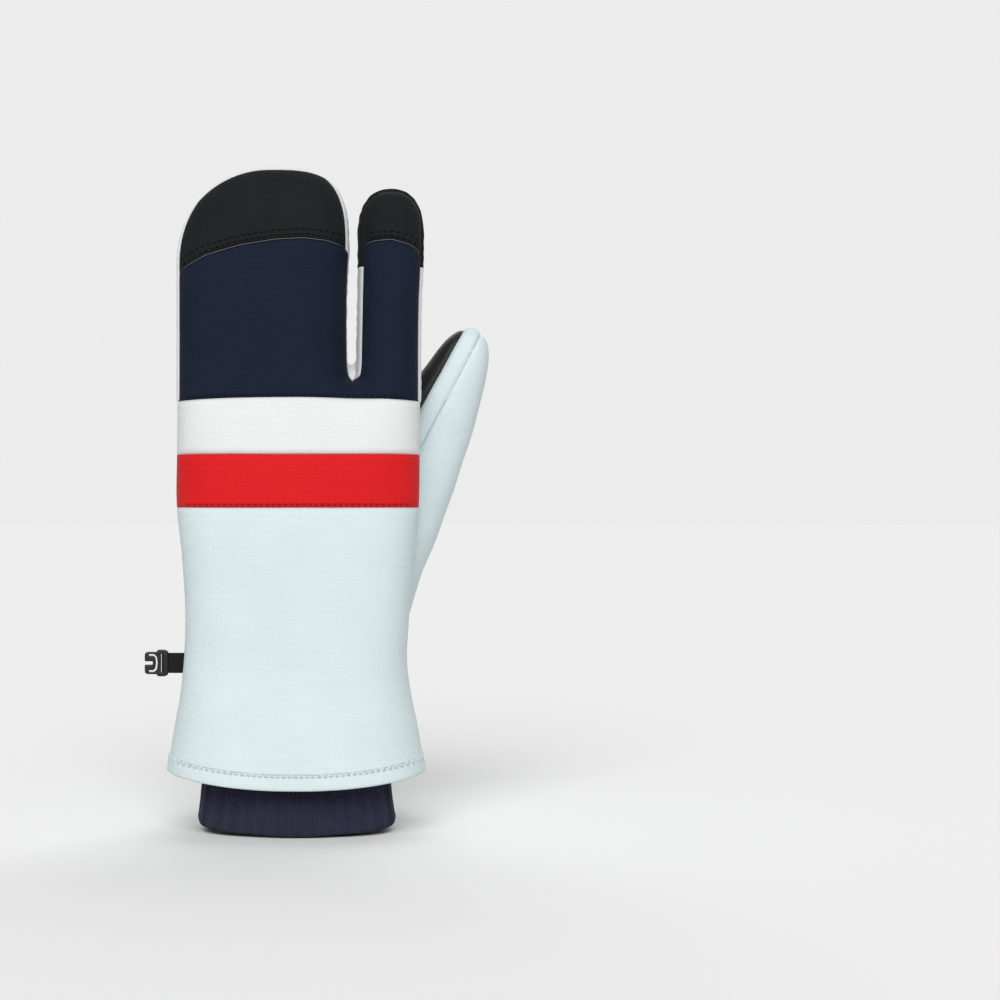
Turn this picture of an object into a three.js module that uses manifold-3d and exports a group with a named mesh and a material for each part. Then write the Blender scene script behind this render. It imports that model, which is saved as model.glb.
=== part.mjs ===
// Three-finger ski mitt, left hand, standing on its knit cuff with the fingers up.
// Millimetres. +Z runs from the cuff to the fingertips, +X to the thumb, +Y out of the palm.
import * as THREE from 'three';
import { mergeVertices } from 'three/addons/utils/BufferGeometryUtils.js';
import Module from 'manifold-3d';

const wasm = await Module();
wasm.setup();

// Fabric build-up, measured inwards from the outside of the mitt.
const GAP = 0.3;
const SHELL = 1.2;
const WADDING_START = 1.5;
const WADDING_END = 5.0;
const LINING_START = 5.3;
const LINING_END = 6.3;
const CUFF_WADDING_END = 4.0;
const CUFF_LINING_START = 4.3;
const CUFF_LINING_END = 5.2;
const KNIT_THICKNESS = 3.2;

// Joints: where each hinge line lies and how wide its gap opens.
const WRIST_Z = 76;
const KNUCKLE_Z = 218;
const THUMB_HINGE = { x: 52, y: 27, z: 172 };
const THUMB_TILT = 22;
const HINGE_HALF_GAP = 1.0;
const WRIST_OPEN = 10.5;
const KNUCKLE_OPEN = 31;
const THUMB_OPEN = 19.5;

// Heights of the seams between the bands on the back of the hand.
const HEM_BOTTOM = 26.3;
const HEM_TOP = 34.3;
const RED_BOTTOM = 148;
const WHITE_BOTTOM = 172;
const NAVY_BOTTOM = 197.3;

// The side strips of the fingers run between these two depths.
const STRIP_BACK = -9;
const STRIP_PALM = 12;

// Each station is height, left edge, right edge, middle depth, half depth.
const HAND = {
  around: 16,
  power: 3,
  stations: [
    [60, -53.4, 49.9, 0, 28.5],
    [96, -52.6, 50.6, 0, 28.5],
    [151, -56.6, 55.2, 0, 29],
    [208, -56.1, 55.7, 0, 25.4],
  ],
};
const POD = {
  around: 16,
  power: 2.9,
  stations: [
    [194, -55.6, 22.8, 0, 24.6],
    [240, -56.1, 21.6, 0, 23.8],
    [268, -56, 22.6, 0, 22.6],
    [282, -50.8, 22.4, 0, 20],
    [294, -41, 17.1, 0, 14.6],
    [301, -29.5, 8, 0, 8.5],
    [303.8, -18, -8, 0, 3],
  ],
};
const INDEX = {
  around: 12,
  power: 2.6,
  stations: [
    [194, 24.6, 55, 0, 20.5],
    [243, 26.7, 56.4, 0, 18.6],
    [272, 27.3, 57, 0, 17],
    [286, 30.3, 53.9, 0, 13],
    [294, 40, 44, 0, 2.2],
  ],
};
const THUMB = {
  around: 12,
  power: 2.3,
  stations: [
    [96, 28, 50.6, 12, 15],
    [124, 15.6, 59.3, 20, 19.6],
    [142, 13.6, 66.6, 24, 20],
    [160, 16.6, 73, 27.4, 18.6],
    [178, 29, 78.8, 30, 16.4],
    [208, 55, 86.9, 31, 14],
    [222, 65.4, 88.2, 31, 12.2],
    [231, 76, 82.6, 31, 3.6],
  ],
};
const GAUNTLET = {
  around: 16,
  power: 2.4,
  stations: [
    [10, -63.1, 60.3, 0, 39.5],
    [50, -57, 54.3, 0, 33],
    [90, -52.6, 50.2, 0, 28.6],
  ],
};
const KNIT = {
  around: 20,
  power: 2.3,
  stations: [
    [0, -46, 44, 0, 28.4],
    [24, -44, 42.4, 0, 25.2],
    [66, -41.6, 39.8, 0, 21.8],
  ],
};

// Strap and clip at the little-finger side.
const STRAP = { pivotX: -55.8, barX: -61.4, low: 71.9, high: 81.1, half: 0.8 };
const CLIP = { inner: -63.2, outer: -71, low: 70.4, high: 82.6, half: 1.7 };

const MATERIALS = {
  pale_fabric: { color: 0xd8e8e8, roughness: 0.8 },
  navy_fabric: { color: 0x202636, roughness: 0.8 },
  white_fabric: { color: 0xececec, roughness: 0.8 },
  red_fabric: { color: 0xde2729, roughness: 0.8 },
  black_leather: { color: 0x2b2d2e, roughness: 0.55 },
  knit: { color: 0x2a2d3c, roughness: 0.9 },
  wadding: { color: 0xe6e4dc, roughness: 0.95 },
  lining: { color: 0x33363c, roughness: 0.95 },
  elastic: { color: 0xdddddd, roughness: 0.8 },
  webbing: { color: 0x1d1d1d, roughness: 0.8 },
  clip_plastic: { color: 0x141414, roughness: 0.45 },
};

function solid(geometry) {
  const bare = geometry.clone();
  bare.deleteAttribute('normal');
  bare.deleteAttribute('uv');
  const merged = mergeVertices(bare, 1e-4);
  return new wasm.Manifold(new wasm.Mesh({
    numProp: 3,
    vertProperties: new Float32Array(merged.attributes.position.array),
    triVerts: new Uint32Array(merged.index.array),
  }));
}

// A padded form: a cylinder whose rings are moved to the stations, shrunk evenly by inset.
function form(shape, inset) {
  const { around, power, stations } = shape;
  const count = stations.length;
  const halfWidth = Math.max(...stations.map((s) => (s[2] - s[1]) / 2));
  const halfDepth = Math.max(...stations.map((s) => s[4]));
  const foot = stations[0][0];
  const height = stations[count - 1][0] - foot;
  const geometry = new THREE.CylinderGeometry(1, 1, 1, around, count - 1);
  const position = geometry.attributes.position;
  for (let i = 0; i < position.count; i += 1) {
    const [z, left, right, middle, depth] = stations[Math.round((position.getY(i) + 0.5) * (count - 1))];
    const reach = Math.hypot(position.getX(i), position.getZ(i));
    const angle = Math.atan2(-position.getZ(i), position.getX(i));
    const c = Math.cos(angle);
    const s = Math.sin(angle);
    const round = reach / (Math.abs(c) ** power + Math.abs(s) ** power) ** (1 / power);
    position.setXYZ(
      i,
      (left + right) / 2 + round * c * ((right - left) / 2) * (1 - inset / halfWidth),
      middle + round * s * depth * (1 - inset / halfDepth),
      foot + (z - foot) * (1 - inset / height),
    );
  }
  return solid(geometry);
}

// A prism whose outline lies in the plane of u and v and that runs along u x v.
function prism(outline, origin, u, v, from, to) {
  const shape = new THREE.Shape(outline.map(([a, b]) => new THREE.Vector2(a, b)));
  const geometry = new THREE.ExtrudeGeometry(shape, { depth: to - from, bevelEnabled: false });
  const along = new THREE.Vector3().crossVectors(u, v);
  geometry.translate(0, 0, from);
  geometry.applyMatrix4(new THREE.Matrix4().makeBasis(u, v, along));
  geometry.translate(origin.x, origin.y, origin.z);
  return solid(geometry);
}

const X = new THREE.Vector3(1, 0, 0);
const Y = new THREE.Vector3(0, 1, 0);
const Z = new THREE.Vector3(0, 0, 1);
const CENTRE = new THREE.Vector3(0, 0, 0);

// An outline seen from the palm, cut right through the mitt from back to palm.
function through(outline, low = -100, high = 100) {
  return prism(outline, CENTRE, X, Z, -high, -low);
}

function block(x0, x1, y0, y1, z0, z1) {
  const box = new THREE.BoxGeometry(x1 - x0, y1 - y0, z1 - z0);
  box.translate((x0 + x1) / 2, (y0 + y1) / 2, (z0 + z1) / 2);
  return solid(box);
}

function slab(y0, y1) {
  return block(-100, 120, y0, y1, -50, 350);
}

// The three spaces at a hinge: beyond it, before it, and the fold between them.
function hinge(origin, tilt, backOpen, palmOpen) {
  const lean = THREE.MathUtils.degToRad(tilt);
  const v = new THREE.Vector3(Math.sin(lean), 0, Math.cos(lean));
  const far = 90;
  const rise = (open) => far * Math.tan(THREE.MathUtils.degToRad(open));
  const back = rise(backOpen);
  const palm = rise(palmOpen);
  const edge = (g, side) => [[-far, side * (g + back)], [0, side * g], [far, side * (g + palm)]];
  const g = HINGE_HALF_GAP;
  const beyond = [...edge(g, 1), [far, 300], [-far, 300]];
  const before = [...edge(g, -1), [far, -300], [-far, -300]];
  const past = [[-far, 0], [far, 0], [far, -300], [-far, -300]];
  const fold = [...edge(g - GAP, -1), ...edge(g - GAP, 1).reverse()];
  const make = (outline) => prism(outline, origin, Y, v, -120, 120);
  return { beyond: make(beyond), before: make(before), fold: make(fold), past: make(past) };
}

const wrist = hinge(new THREE.Vector3(0, 0, WRIST_Z), 0, WRIST_OPEN, WRIST_OPEN);
const knuckle = hinge(new THREE.Vector3(0, 0, KNUCKLE_Z), 0, 0, KNUCKLE_OPEN);
const thumbPoint = new THREE.Vector3(THUMB_HINGE.x, THUMB_HINGE.y, THUMB_HINGE.z);
const thumbHinge = hinge(thumbPoint, THUMB_TILT, 0, THUMB_OPEN);

const part = new THREE.Group();

// Adds one closed piece: the largest body of the solid, without collapsed triangles.
function add(name, material, manifold) {
  const bodies = manifold.decompose();
  const body = bodies.reduce((a, b) => (b.volume() > a.volume() ? b : a));
  const mesh = body.getMesh();
  const points = new Float32Array(mesh.numVert * 3);
  for (let i = 0; i < mesh.numVert; i += 1) {
    points.set(mesh.vertProperties.subarray(i * mesh.numProp, i * mesh.numProp + 3), i * 3);
  }
  const raw = new THREE.BufferGeometry();
  raw.setAttribute('position', new THREE.BufferAttribute(points, 3));
  raw.setIndex(new THREE.BufferAttribute(mesh.triVerts, 1));
  const geometry = mergeVertices(raw, 2e-3);
  const kept = [];
  const index = geometry.index.array;
  for (let i = 0; i < index.length; i += 3) {
    const [a, b, c] = [index[i], index[i + 1], index[i + 2]];
    if (a !== b && b !== c && c !== a) {
      kept.push(a, b, c);
    }
  }
  geometry.setIndex(kept);
  geometry.computeVertexNormals();
  const piece = new THREE.Mesh(geometry, new THREE.MeshStandardMaterial(MATERIALS[material]));
  piece.name = name;
  part.add(piece);
}

const forms = new Map();
function at(shape, inset) {
  const key = `${Object.keys(SHAPES).find((k) => SHAPES[k] === shape)} ${inset}`;
  if (!forms.has(key)) {
    forms.set(key, form(shape, inset));
  }
  return forms.get(key);
}
const SHAPES = { HAND, POD, INDEX, THUMB, GAUNTLET, KNIT };

// Hand and fingers as one padded body, and with the base of the thumb.
const palmBody = (inset) => at(HAND, inset).add(at(POD, inset)).add(at(INDEX, inset));
const whole = (inset) => palmBody(inset).add(at(THUMB, inset).intersect(thumbHinge.before));
const hollow = (inset) => palmBody(inset).add(at(THUMB, inset).intersect(thumbHinge.past));

// ---- Gauntlet, hem and knit cuff
const cuffLayer = (from, to) => at(GAUNTLET, from).subtract(at(GAUNTLET, to));
const cuffShell = cuffLayer(0, SHELL).intersect(wrist.before);
const cuffAbove = (z) => block(-100, 100, -100, 100, z, 90);
const cuffPanels = cuffShell.intersect(cuffAbove(HEM_TOP + GAP / 2));
add('gauntlet_back_panel', 'pale_fabric', cuffPanels.intersect(slab(-100, -GAP / 2)));
add('gauntlet_palm_panel', 'pale_fabric', cuffPanels.intersect(slab(GAP / 2, 100)));
const hemBlock = block(-100, 100, -100, 100, HEM_BOTTOM, HEM_TOP - GAP / 2);
add('hem_band', 'pale_fabric', cuffShell.intersect(hemBlock));
const inside = wrist.before.intersect(cuffAbove(HEM_BOTTOM + 1));
add('gauntlet_wadding', 'wadding', cuffLayer(WADDING_START, CUFF_WADDING_END).intersect(inside));
add('gauntlet_lining', 'lining', cuffLayer(CUFF_LINING_START, CUFF_LINING_END).intersect(inside));

const knitTube = (inset) => at(KNIT, inset);
const knitTop = KNIT.stations[KNIT.stations.length - 1][0];
const knitHollow = form({
  ...KNIT,
  stations: KNIT.stations.map(([z, ...rest], i) => [z + [-8, 0, 16][i], ...rest]),
}, KNIT_THICKNESS);
add('knit_cuff', 'knit', knitTube(0).subtract(knitHollow));
const seamRing = at(GAUNTLET, CUFF_LINING_END + GAP)
  .subtract(form(KNIT, -GAP))
  .intersect(block(-100, 100, -100, 100, knitTop - 5, knitTop - 0.5));
add('cuff_seam_ring', 'lining', seamRing);

// ---- Gathered wrist between gauntlet and hand
add('wrist_fold', 'pale_fabric', cuffLayer(0, SHELL).intersect(wrist.fold));
const elastic = cuffLayer(WADDING_START, WADDING_START + 1.1).intersect(wrist.fold).intersect(slab(14, 60));
add('wrist_elastic', 'elastic', elastic);

// ---- Hand
const handSpace = wrist.beyond.intersect(knuckle.before);
const handSkin = palmBody(0).subtract(hollow(SHELL)).intersect(handSpace);
const between = (z0, z1) => block(-100, 120, -100, 100, z0 + GAP / 2, z1 - GAP / 2);
const backSide = slab(-100, -GAP / 2);
add('hand_back_panel', 'pale_fabric', handSkin.intersect(backSide).intersect(between(0, RED_BOTTOM)));
add('red_band', 'red_fabric', handSkin.intersect(backSide).intersect(between(RED_BOTTOM, WHITE_BOTTOM)));
add('white_band', 'white_fabric', handSkin.intersect(backSide).intersect(between(WHITE_BOTTOM, NAVY_BOTTOM)));
const fingerBase = handSkin.intersect(between(NAVY_BOTTOM, 300));
add('navy_yoke', 'navy_fabric', fingerBase.intersect(slab(-100, STRIP_BACK - GAP / 2)));
const strip = slab(STRIP_BACK + GAP / 2, STRIP_PALM - GAP / 2);
const sideStrip = fingerBase.intersect(strip);
add('little_side_gusset', 'white_fabric', sideStrip.intersect(block(-100, -30, -50, 50, 0, 300)));
add('crotch_web', 'white_fabric', sideStrip.intersect(block(0, 44, -50, 50, 0, 300)));
add('index_side_gusset', 'white_fabric', sideStrip.intersect(block(46, 100, -50, 50, 0, 300)));

const HEEL = [
  [17, 125.4], [17, 122], [22.1, 110.6], [7.5, 97.5], [-44.8, 97.8], [-52.4, 108], [-70, 114], [-70, 125.4],
];
const heelPrism = through(HEEL, 0, 100);
const heelOuter = through([
  [17.4, 125.7], [17.4, 122.1], [22.5, 110.5], [7.6, 97.2], [-45, 97.5], [-52.6, 107.7], [-70, 113.7], [-70, 125.7],
], -1, 100);
const palmSide = handSkin.intersect(slab(GAP / 2, 100));
const palmTop = palmSide.intersect(between(125.4, NAVY_BOTTOM)).add(
  fingerBase.add(palmSide.intersect(between(180, 300))).intersect(slab(STRIP_PALM + GAP / 2, 100)),
);
add('palm_leather', 'black_leather', palmTop.intersect(block(-100, 47, -100, 100, 0, 206)));
add('heel_leather', 'black_leather', palmSide.intersect(heelPrism).intersect(between(0, 125.4)));
const wristPalm = palmSide.intersect(between(0, 125.4)).subtract(heelOuter);
add('wrist_palm_panel', 'pale_fabric', wristPalm);
add('thumb_side_strip', 'pale_fabric',
  palmSide.intersect(between(125.4, NAVY_BOTTOM)).intersect(block(47.3, 100, -50, 14, 0, 300)));

const handLayer = (from, to) => whole(from).subtract(hollow(to)).intersect(handSpace);
add('hand_wadding', 'wadding', handLayer(WADDING_START, WADDING_END));
add('hand_lining', 'lining', handLayer(LINING_START, LINING_END));

// ---- Thumb: leather on the side that faces the hand, a strip round the tip, an outer panel
const thumbCut = (dx) => [[17 + dx, 122], [76 + dx, 230], [76 + dx, 400], [-200, 400], [-200, 60], [-17 + dx, 60]];
const leatherSide = (dx) => through(thumbCut(dx));
const outerSeam = (dx) => through([
  [-20 + dx, 60], [-4 + dx, 88], [22.5 + dx, 110], [46.5 + dx, 156.6], [62 + dx, 187], [77 + dx, 215],
  [84.5 + dx, 226], [110 + dx, 250], [-200, 400], [-200, 60],
]);
const aroundHand = form(HAND, -GAP).add(form(INDEX, -GAP));
const thumbBase = at(THUMB, 0).subtract(at(THUMB, SHELL)).intersect(thumbHinge.before).subtract(aroundHand);
add('thumb_base_leather', 'black_leather', thumbBase.intersect(leatherSide(-GAP / 2)));
add('thumb_base_panel', 'pale_fabric', thumbBase.subtract(leatherSide(GAP / 2)));

const thumbLayer = (from, to) => at(THUMB, from).subtract(at(THUMB, to));
const thumbSpace = thumbHinge.beyond.subtract(aroundHand);
const thumbSkin = thumbLayer(0, SHELL).intersect(thumbSpace);
add('thumb_leather', 'black_leather', thumbSkin.intersect(leatherSide(-GAP / 2)));
const thumbPale = thumbSkin.subtract(leatherSide(GAP / 2));
add('thumb_gusset', 'pale_fabric', thumbPale.intersect(outerSeam(-GAP / 2)));
add('thumb_outer_panel', 'pale_fabric', thumbPale.subtract(outerSeam(GAP / 2)));
add('thumb_wadding', 'wadding', thumbLayer(WADDING_START, WADDING_END).intersect(thumbSpace));
add('thumb_lining', 'lining', thumbLayer(LINING_START, LINING_END).intersect(thumbSpace));
add('thumb_fold', 'pale_fabric', thumbLayer(0, SHELL).intersect(thumbHinge.fold).subtract(aroundHand));

// ---- Three-finger pod and index finger
const fingerLayer = (shape, from, to) => at(shape, from).subtract(at(shape, to)).intersect(knuckle.beyond);
const fold = (shape) => at(shape, 0).subtract(at(shape, SHELL)).intersect(knuckle.fold);

// Below and above a seam that arches across the finger.
function seam(points) {
  const [first, last] = [points[0], points[points.length - 1]];
  const cut = (dz, edge) => through([
    [-100, first[1] + dz], ...points.map(([x, z]) => [x, z + dz]), [100, last[1] + dz], [100, edge], [-100, edge],
  ]);
  return { below: cut(-GAP / 2, 100), above: cut(GAP / 2, 400) };
}
const backPart = slab(-100, STRIP_BACK - GAP / 2);
const palmPart = slab(STRIP_PALM + GAP / 2, 100);

const podSkin = fingerLayer(POD, 0, SHELL);
const podBackSeam = seam([[-55, 257.6], [-42, 264.6], [-27, 269], [-11, 271.7], [2, 272.4], [22, 269]]);
const podPalmSeam = seam([[-55, 250.7], [-33.6, 262], [-7.8, 267.5], [21, 263]]);
add('pod_back', 'navy_fabric', podSkin.intersect(backPart).intersect(podBackSeam.below));
add('pod_cap_back', 'black_leather', podSkin.intersect(backPart).intersect(podBackSeam.above));
add('pod_palm_leather', 'black_leather', podSkin.intersect(palmPart).intersect(podPalmSeam.below));
add('pod_cap_palm', 'black_leather', podSkin.intersect(palmPart).intersect(podPalmSeam.above));
add('pod_gusset', 'white_fabric', podSkin.intersect(strip));
add('pod_wadding', 'wadding', fingerLayer(POD, WADDING_START, WADDING_END));
add('pod_lining', 'lining', fingerLayer(POD, LINING_START, LINING_END));
add('pod_fold', 'black_leather', fold(POD));

const indexSkin = fingerLayer(INDEX, 0, SHELL);
const indexBackSeam = seam([[27, 270], [42, 271.4], [57, 266]]);
const indexSideSeam = seam([[27, 258], [57, 258]]);
add('index_back', 'navy_fabric', indexSkin.intersect(backPart).intersect(indexBackSeam.below));
add('index_cap_back', 'black_leather', indexSkin.intersect(backPart).intersect(indexBackSeam.above));
add('index_palm_leather', 'black_leather', indexSkin.intersect(palmPart).intersect(indexSideSeam.below));
add('index_cap_palm', 'black_leather', indexSkin.intersect(palmPart).intersect(indexSideSeam.above));
add('index_gusset', 'white_fabric', indexSkin.intersect(strip).intersect(indexSideSeam.below)
  .intersect(block(0, 42, -50, 50, 0, 300)));
add('index_outer_gusset', 'white_fabric', indexSkin.intersect(strip).intersect(indexSideSeam.below)
  .intersect(block(42, 100, -50, 50, 0, 300)));
add('index_cap_gusset', 'black_leather', indexSkin.intersect(strip).intersect(indexSideSeam.above));
add('index_wadding', 'wadding', fingerLayer(INDEX, WADDING_START, WADDING_END));
add('index_lining', 'lining', fingerLayer(INDEX, LINING_START, LINING_END));
add('index_fold', 'black_leather', fold(INDEX));

// ---- Strap of doubled webbing and its plastic clip
function post(x, radius, z0, z1) {
  const rod = new THREE.CylinderGeometry(radius, radius, z1 - z0, 20);
  rod.rotateX(Math.PI / 2);
  rod.translate(x, 0, (z0 + z1) / 2);
  return solid(rod);
}
const { pivotX, barX, low, high, half } = STRAP;
const webbing = block(barX, pivotX, -half, half, low, high)
  .add(post(pivotX, half, low, high))
  .add(post(barX, 1.7, low, high))
  .subtract(post(barX, 1.1, low - 1, high + 1));
add('strap_webbing', 'webbing', webbing);

const arm = 1.1;
const clip = block(CLIP.outer, CLIP.inner, -CLIP.half, CLIP.half, CLIP.low, CLIP.high)
  .add(block(CLIP.inner - 1, barX, -CLIP.half, CLIP.half, CLIP.low, CLIP.low + arm))
  .add(block(CLIP.inner - 1, barX, -CLIP.half, CLIP.half, CLIP.high - arm, CLIP.high))
  .add(post(barX, CLIP.half, CLIP.low, CLIP.low + arm))
  .add(post(barX, CLIP.half, CLIP.high - arm, CLIP.high))
  .add(post(barX, 0.8, CLIP.low + 0.5, CLIP.high - 0.5))
  .subtract(block(-67.4, -66.4, -5, 5, 73, 80))
  .subtract(block(-69.4, -67, -5, 5, 73, 74))
  .subtract(block(-69.4, -67, -5, 5, 79, 80));
add('clip', 'clip_plastic', clip);

// The row's origin is the middle of the foot of the bounding box.
const bounds = new THREE.Box3().setFromObject(part);
const middle = bounds.getCenter(new THREE.Vector3());
part.children.forEach((piece) => piece.geometry.translate(-middle.x, -middle.y, -bounds.min.z));

export default part;
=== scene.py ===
import math

import bmesh
import bpy
import numpy as np
from mathutils import Matrix, Vector


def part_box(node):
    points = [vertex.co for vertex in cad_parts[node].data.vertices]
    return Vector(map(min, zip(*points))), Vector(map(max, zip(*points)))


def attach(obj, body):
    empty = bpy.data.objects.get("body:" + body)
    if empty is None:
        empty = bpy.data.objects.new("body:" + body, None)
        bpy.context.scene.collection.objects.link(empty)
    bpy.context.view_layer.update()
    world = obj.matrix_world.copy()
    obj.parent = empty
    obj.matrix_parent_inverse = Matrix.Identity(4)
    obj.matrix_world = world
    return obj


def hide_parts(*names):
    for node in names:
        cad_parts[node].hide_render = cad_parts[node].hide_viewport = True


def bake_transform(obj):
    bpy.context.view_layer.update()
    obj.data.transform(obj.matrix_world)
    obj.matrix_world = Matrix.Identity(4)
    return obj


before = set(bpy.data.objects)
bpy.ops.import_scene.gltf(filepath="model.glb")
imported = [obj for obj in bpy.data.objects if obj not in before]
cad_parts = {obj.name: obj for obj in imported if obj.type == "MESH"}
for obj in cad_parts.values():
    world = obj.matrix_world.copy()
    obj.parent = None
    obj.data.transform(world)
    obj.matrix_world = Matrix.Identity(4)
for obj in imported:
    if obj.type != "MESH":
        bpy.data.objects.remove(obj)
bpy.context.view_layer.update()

# ---------------------------------------------------------------------------------------------
# The studio: a pale floor in a pale room that lights the mitt more from its front and back than
# from its sides, with one soft lamp in front and one behind. The camera looks level at the back of
# the hand, and the mitt stands in the left half of its view.
scene = bpy.context.scene
scene.view_settings.view_transform = "Standard"
world = bpy.data.worlds.new("studio")
scene.world = world
world.use_nodes = True
room = world.node_tree.nodes["Background"]
room.inputs["Color"].default_value = (0.84, 0.84, 0.84, 1)
FROM_FRONT, FROM_SIDE = 0.74, 0.2
seen, way, parts, square, lit, strength = [world.node_tree.nodes.new("ShaderNode" + kind) for kind in (
    "LightPath", "TexCoord", "SeparateXYZ", "Math", "Math", "Mix")]
square.operation, lit.operation = "POWER", "MULTIPLY_ADD"
square.inputs[1].default_value = 2.0
lit.inputs[1].default_value, lit.inputs[2].default_value = FROM_FRONT, FROM_SIDE
strength.inputs["B"].default_value = 1.0  # the backdrop that the camera sees stays plain
for out, into in ((way.outputs["Generated"], parts.inputs[0]), (parts.outputs["Y"], square.inputs[0]),
                  (square.outputs[0], lit.inputs[0]), (lit.outputs[0], strength.inputs["A"]),
                  (seen.outputs["Is Camera Ray"], strength.inputs["Factor"]),
                  (strength.outputs[0], room.inputs["Strength"])):
    world.node_tree.links.new(out, into)

camera_data = bpy.data.cameras.new("camera")
camera = bpy.data.objects.new("camera", camera_data)
scene.collection.objects.link(camera)
camera_data.lens = 78.3
camera_data.sensor_width = 36
camera.location = (0, -1.005, 0.1514)
camera_data.shift_x = 0.182
camera.rotation_euler = (math.radians(90), 0, 0)
scene.camera = camera


def soft_light(name, place, power, spread):
    """A big diffused lamp a long way off, shining from one direction."""
    data = bpy.data.lights.new(name, "SUN")
    data.energy = power
    data.angle = math.radians(spread)
    light = bpy.data.objects.new(name, data)
    light.rotation_euler = Vector(place).to_track_quat("Z", "Y").to_euler()
    scene.collection.objects.link(light)


soft_light("key", (-0.1, -1.0, 0.8), 2.35, 40)
soft_light("palm_key", (0.2, 1.0, 0.8), 1.35, 60)


def paper_floor():
    bm = bmesh.new()
    bmesh.ops.create_grid(bm, x_segments=1, y_segments=1, size=12)
    mesh = bpy.data.meshes.new("floor")
    bm.to_mesh(mesh)
    bm.free()
    floor = bpy.data.objects.new("floor", mesh)
    scene.collection.objects.link(floor)
    paper = bpy.data.materials.new("studio_paper")
    paper.use_nodes = True
    shader = paper.node_tree.nodes["Principled BSDF"]
    shader.inputs["Base Color"].default_value = (0.81, 0.81, 0.81, 1)
    shader.inputs["Roughness"].default_value = 0.9
    shader.inputs["Specular IOR Level"].default_value = 0.0
    mesh.materials.append(paper)


paper_floor()

# ---------------------------------------------------------------------------------------------
# Back of the gauntlet and hand: one pale panel of woven shell fabric from the hem to the red
# band, padded behind, sewn at both sides to the palm panels. Sizes are millimetres from the
# middle of the hand, X towards the thumb and Z up.
knit_low, knit_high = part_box("knit_cuff")
CENTRE_X = (knit_low[0] + knit_high[0]) * 500 + 1
CENTRE_Y = (knit_low[1] + knit_high[1]) * 500
HEM_SEAM = 33.3
RED_BOTTOM, WHITE_BOTTOM = 148, 172
CROTCH = (24.1, 206.4)


def metres(points):
    points = np.atleast_2d(np.asarray(points, float))
    return (points + np.array([CENTRE_X, CENTRE_Y, 0])) / 1000


def in_mm(bm):
    """A piece's points in millimetres from the middle of the hand."""
    return np.array([v.co for v in bm.verts]) * 1000 - np.array([CENTRE_X, CENTRE_Y, 0])


def pushed(bm, out):
    """Moves each point along its own normal by so many millimetres."""
    for vert, normal, o in zip(bm.verts, [v.normal.copy() for v in bm.verts], out):
        vert.co += normal * (o / 1000)


def mapped(bm, flat):
    """Gives each point its place on the flat cloth, in metres, as the UV map."""
    uv = bm.loops.layers.uv.new("cloth")
    for face in bm.faces:
        for loop in face.loops:
            loop[uv].uv = flat[loop.vert.index]


def curve_through(points):
    """A smooth function through (height, value) points."""
    at = np.array([p[0] for p in points], float)
    value = np.array([p[1] for p in points], float)
    slope = np.gradient(value, at)

    def function(z):
        z = np.clip(np.asarray(z, float), at[0], at[-1])
        i = np.clip(np.searchsorted(at, z) - 1, 0, len(at) - 2)
        h = at[i + 1] - at[i]
        t = (z - at[i]) / h
        low = (1 + 2 * t) * (1 - t) ** 2 * value[i] + t * (1 - t) ** 2 * h * slope[i]
        high = t * t * (3 - 2 * t) * value[i + 1] + t * t * (t - 1) * h * slope[i + 1]
        return low + high

    return function


def fade(x, start, end):
    """0 at start, 1 at end and smooth between."""
    t = np.clip((np.asarray(x, float) - start) / (end - start), 0, 1)
    return t * t * (3 - 2 * t)


left_edge = curve_through([(20, -61.6), (26.3, -60.7), (40, -58.6), (50, -57), (62, -54.9), (76, -53.4),
                           (96, -52.5), (124, -53.9), (151, -56.5), (172, -56.3), (197, -56.1), (260, -56.1)])
right_edge = curve_through([(20, 58.9), (26.3, 58), (50, 54.2), (62, 51.8), (76, 49.9), (96, 50.6),
                            (124, 53), (151, 55.2), (172, 55.5), (197, 55.7), (225, 55.8), (243, 56.1),
                            (258, 56.8), (272, 57)])
hand_depth = curve_through([(20, 38), (26.3, 37), (50, 33), (76, 28.6), (96, 28.5), (124, 29), (151, 29),
                            (178, 28), (200, 26), (218, 24.6), (248, 23.6), (266, 22.4), (280, 20.4),
                            (292, 17.6), (304, 14.5)])
index_depth = curve_through([(190, 25), (215, 20.4), (243, 18.6), (268, 17.2), (280, 15.8), (294, 13)])


def even(points, step=1.2):
    """The same line with its points evenly spaced."""
    points = np.asarray(points, float)
    length = np.concatenate([[0], np.cumsum(np.linalg.norm(np.diff(points, axis=0), axis=1))])
    count = max(int(length[-1] / step), 2)
    s = np.linspace(0, length[-1], count + 1)
    return np.stack([np.interp(s, length, points[:, k]) for k in range(points.shape[1])], 1)


turn = np.linspace(0, math.pi / 2, 40)
heights = np.linspace(20, 260, 100)
pod_left = np.stack([left_edge(heights), heights], 1)
pod_dome = np.concatenate([
    np.stack([-14.3 - 41.8 * np.cos(turn), 260 + 43.8 * np.sin(turn)], 1),
    np.stack([-14.3 + 37 * np.cos(turn[::-1]) ** 0.63, 265 + 38.8 * np.sin(turn[::-1]) ** 0.63], 1)])
pod_slot = np.array([(22.6, 262), (22.1, 254), (21.7, 243), (21.6, 230), (21.7, 220), (21.9, 213),
                     (22.5, 208.8), (23.2, 207), CROTCH])
index_slot = np.array([CROTCH, (25, 207), (25.8, 208.8), (26.3, 213), (26.5, 222), (26.7, 232), (26.9, 243),
                       (27.2, 258), (27.1, 270)])
index_dome = np.concatenate([
    np.stack([42.05 - 14.95 * np.cos(turn) ** 0.83, 272 + 22 * np.sin(turn) ** 0.83], 1),
    np.stack([42.05 + 14.95 * np.cos(turn[::-1]) ** 0.83, 272 + 22 * np.sin(turn[::-1]) ** 0.83], 1)])
heights = np.linspace(272, 20, 100)
index_right = np.stack([right_edge(heights), heights], 1)
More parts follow.
